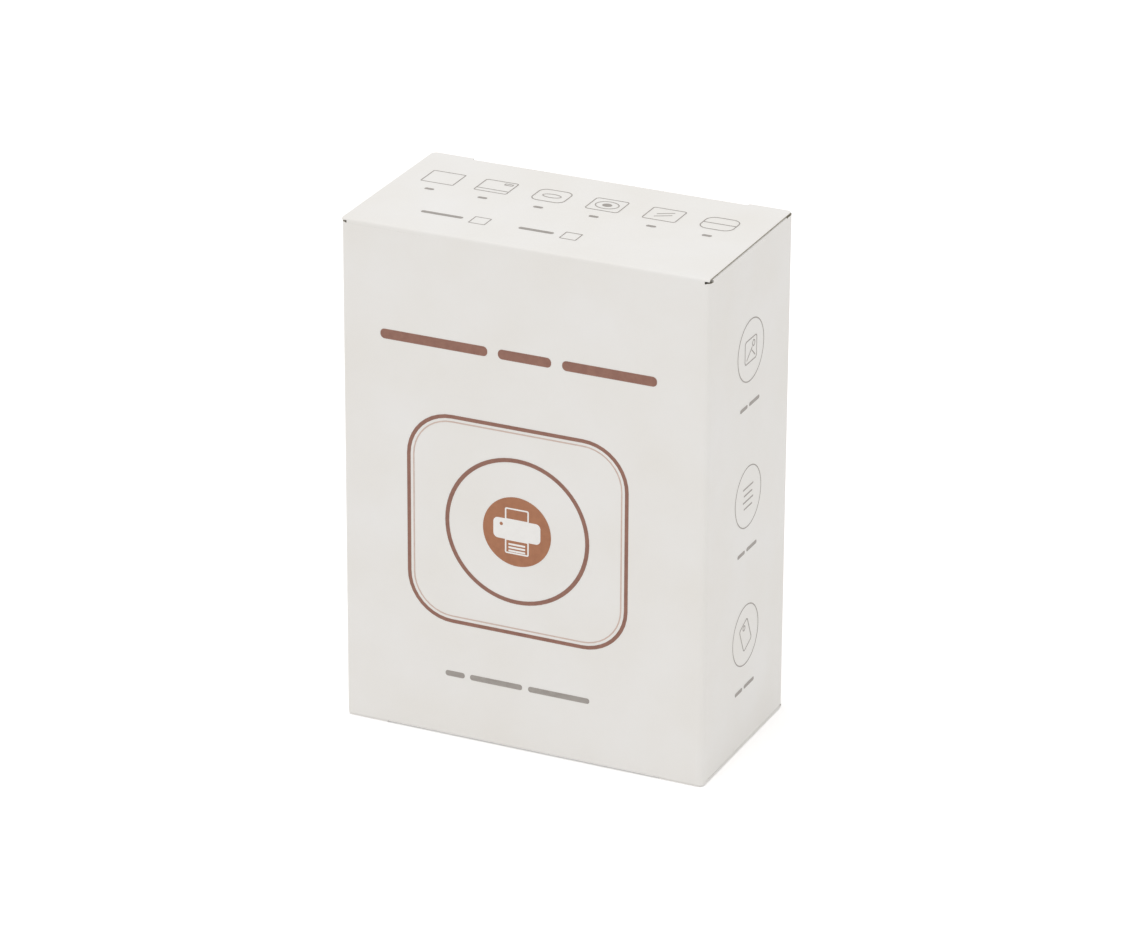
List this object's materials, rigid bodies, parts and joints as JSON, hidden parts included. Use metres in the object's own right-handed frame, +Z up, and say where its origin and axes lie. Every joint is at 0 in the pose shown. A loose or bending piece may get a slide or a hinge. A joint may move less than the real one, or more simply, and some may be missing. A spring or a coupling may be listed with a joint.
{
  "type": "boxed_pocket_printer",
  "caption": "Pocket thermal printer in its closed white tuck-end carton, with a card insert and a leaflet.",
  "frame": {"origin": "centre of the carton's base, on the surface it stands on", "axes": "+Z up, the printed front panel faces -Y, the right side panel faces +X"},
  "size_m": [0.1, 0.052, 0.137],
  "materials": {
    "paperboard": "matt coated white paperboard",
    "insert_card": "plain white card",
    "leaflet_paper": "uncoated paper",
    "housing_plastic": "fine-textured white",
    "inner_plastic": "plain moulded",
    "gear_plastic": "natural acetal",
    "steel": "bright",
    "head_aluminium": "plain",
    "head_ceramic": "glazed strip",
    "platen_rubber": "ground matt",
    "foot_rubber": "matt grey",
    "thermal_paper": "smooth thermal paper",
    "core_card": "wound kraft card",
    "circuit": "solder-masked laminate",
    "battery_film": "foil pouch",
    "switch_plastic": "plain",
    "button_plastic": "polished white",
    "light_pipe": "clear"
  },
  "bodies": {
    "carton": {"carton_sleeve": "paperboard", "card_insert": "insert_card", "leaflet": "leaflet_paper"},
    "lid": {"lid_panel": "paperboard"},
    "lid_tuck": {"lid_tuck_flap": "paperboard"},
    "top_dust_left": {"top_dust_flap_left": "paperboard"},
    "top_dust_right": {"top_dust_flap_right": "paperboard"},
    "bottom": {"bottom_panel": "paperboard"},
    "bottom_tuck": {"bottom_tuck_flap": "paperboard"},
    "bottom_dust_left": {"bottom_dust_flap_left": "paperboard"},
    "bottom_dust_right": {"bottom_dust_flap_right": "paperboard"},
    "printer": {"back_shell": "housing_plastic", "front_shell": "housing_plastic", "cover_hinge_pin": "steel", "roll_cradle": "inner_plastic", "stepper_motor": "steel", "paper_leader": "thermal_paper", "print_head": "head_ceramic", "head_plate": "head_aluminium", "head_spring": "steel", "tear_bar": "steel", "battery": "battery_film", "circuit_board": "circuit", "board_screws": "steel", "usb_socket": "steel", "power_switch": "switch_plastic", "status_light": "light_pipe", "housing_screws": "steel", "rubber_feet": "foot_rubber"},
    "cover": {"paper_cover": "housing_plastic"},
    "platen": {"platen_shaft": "steel", "platen_rubber": "platen_rubber", "platen_gear": "gear_plastic"},
    "upper_idler": {"upper_idler_gear": "gear_plastic"},
    "lower_idler": {"lower_idler_gear": "gear_plastic"},
    "pinion": {"motor_pinion": "gear_plastic", "motor_shaft": "steel"},
    "roll": {"paper_roll": "thermal_paper", "roll_core": "core_card"},
    "button": {"power_button": "button_plastic"}
  },
  "joints": [
    {"name": "printer_lift", "type": "slide", "parent": "carton", "child": "printer", "axis": [0, 0, 1], "range_m": [0, 0.136]},
    {"name": "lid_hinge", "type": "hinge", "parent": "carton", "child": "lid", "pos_m": [0, -0.0253, 0.1363], "axis": [1, 0, 0], "range_deg": [0, 175]},
    {"name": "top_dust_left_fold", "type": "hinge", "parent": "carton", "child": "top_dust_left", "pos_m": [-0.0494, 0, 0.1358], "axis": [0, -1, 0], "range_deg": [0, 120]},
    {"name": "top_dust_right_fold", "type": "hinge", "parent": "carton", "child": "top_dust_right", "pos_m": [0.0494, 0, 0.1358], "axis": [0, 1, 0], "range_deg": [0, 120]},
    {"name": "lid_tuck_fold", "type": "hinge", "parent": "lid", "child": "lid_tuck", "pos_m": [0, 0.0247, 0.1364], "axis": [-1, 0, 0], "range_deg": [0, 25], "stiffness_Nm_per_rad": 0.002},
    {"name": "bottom_hinge", "type": "hinge", "parent": "carton", "child": "bottom", "pos_m": [0, 0.0253, 0.0007], "axis": [1, 0, 0], "range_deg": [0, 175]},
    {"name": "bottom_dust_left_fold", "type": "hinge", "parent": "carton", "child": "bottom_dust_left", "pos_m": [-0.0494, 0, 0.0012], "axis": [0, 1, 0], "range_deg": [0, 120]},
    {"name": "bottom_dust_right_fold", "type": "hinge", "parent": "carton", "child": "bottom_dust_right", "pos_m": [0.0494, 0, 0.0012], "axis": [0, -1, 0], "range_deg": [0, 120]},
    {"name": "bottom_tuck_fold", "type": "hinge", "parent": "bottom", "child": "bottom_tuck", "pos_m": [0, -0.0247, 0.0006], "axis": [-1, 0, 0], "range_deg": [0, 7], "stiffness_Nm_per_rad": 0.002},
    {"name": "cover_hinge", "type": "hinge", "parent": "printer", "child": "cover", "pos_m": [0, 0.0129, 0.0784], "axis": [-1, 0, 0], "range_deg": [0, 90]},
    {"name": "roll_spin", "type": "hinge", "parent": "printer", "child": "roll", "pos_m": [0, -0.001, 0.056], "axis": [1, 0, 0], "continuous": true},
    {"name": "platen_spin", "type": "hinge", "parent": "cover", "child": "platen", "pos_m": [0, -0.0104, 0.0745], "axis": [1, 0, 0], "continuous": true},
    {"name": "upper_idler_spin", "type": "hinge", "parent": "printer", "child": "upper_idler", "pos_m": [0, -0.004, 0.06261], "axis": [1, 0, 0], "continuous": true},
    {"name": "lower_idler_spin", "type": "hinge", "parent": "printer", "child": "lower_idler", "pos_m": [0, -0.005, 0.04364], "axis": [1, 0, 0], "continuous": true},
    {"name": "motor_spin", "type": "hinge", "parent": "printer", "child": "pinion", "pos_m": [0, -0.009, 0.03233], "axis": [1, 0, 0], "continuous": true},
    {"name": "power_press", "type": "slide", "parent": "printer", "child": "button", "axis": [-1, 0, 0], "range_m": [0, 0.0006], "stiffness_N_per_m": 800}
  ],
  "couplings": [
    {"joint": "lid_hinge", "follows": "printer_lift", "rad_per_m": 22.458},
    {"joint": "top_dust_left_fold", "follows": "printer_lift", "rad_per_m": 15.4},
    {"joint": "top_dust_right_fold", "follows": "printer_lift", "rad_per_m": 15.4},
    {"joint": "bottom_dust_left_fold", "follows": "bottom_hinge", "ratio": 0.68571},
    {"joint": "bottom_dust_right_fold", "follows": "bottom_hinge", "ratio": 0.68571},
    {"joint": "platen_spin", "follows": "roll_spin", "ratio": 4.2857},
    {"joint": "upper_idler_spin", "follows": "roll_spin", "ratio": -1.8045},
    {"joint": "lower_idler_spin", "follows": "roll_spin", "ratio": 1.8045},
    {"joint": "motor_spin", "follows": "roll_spin", "ratio": -6.8571}
  ]
}
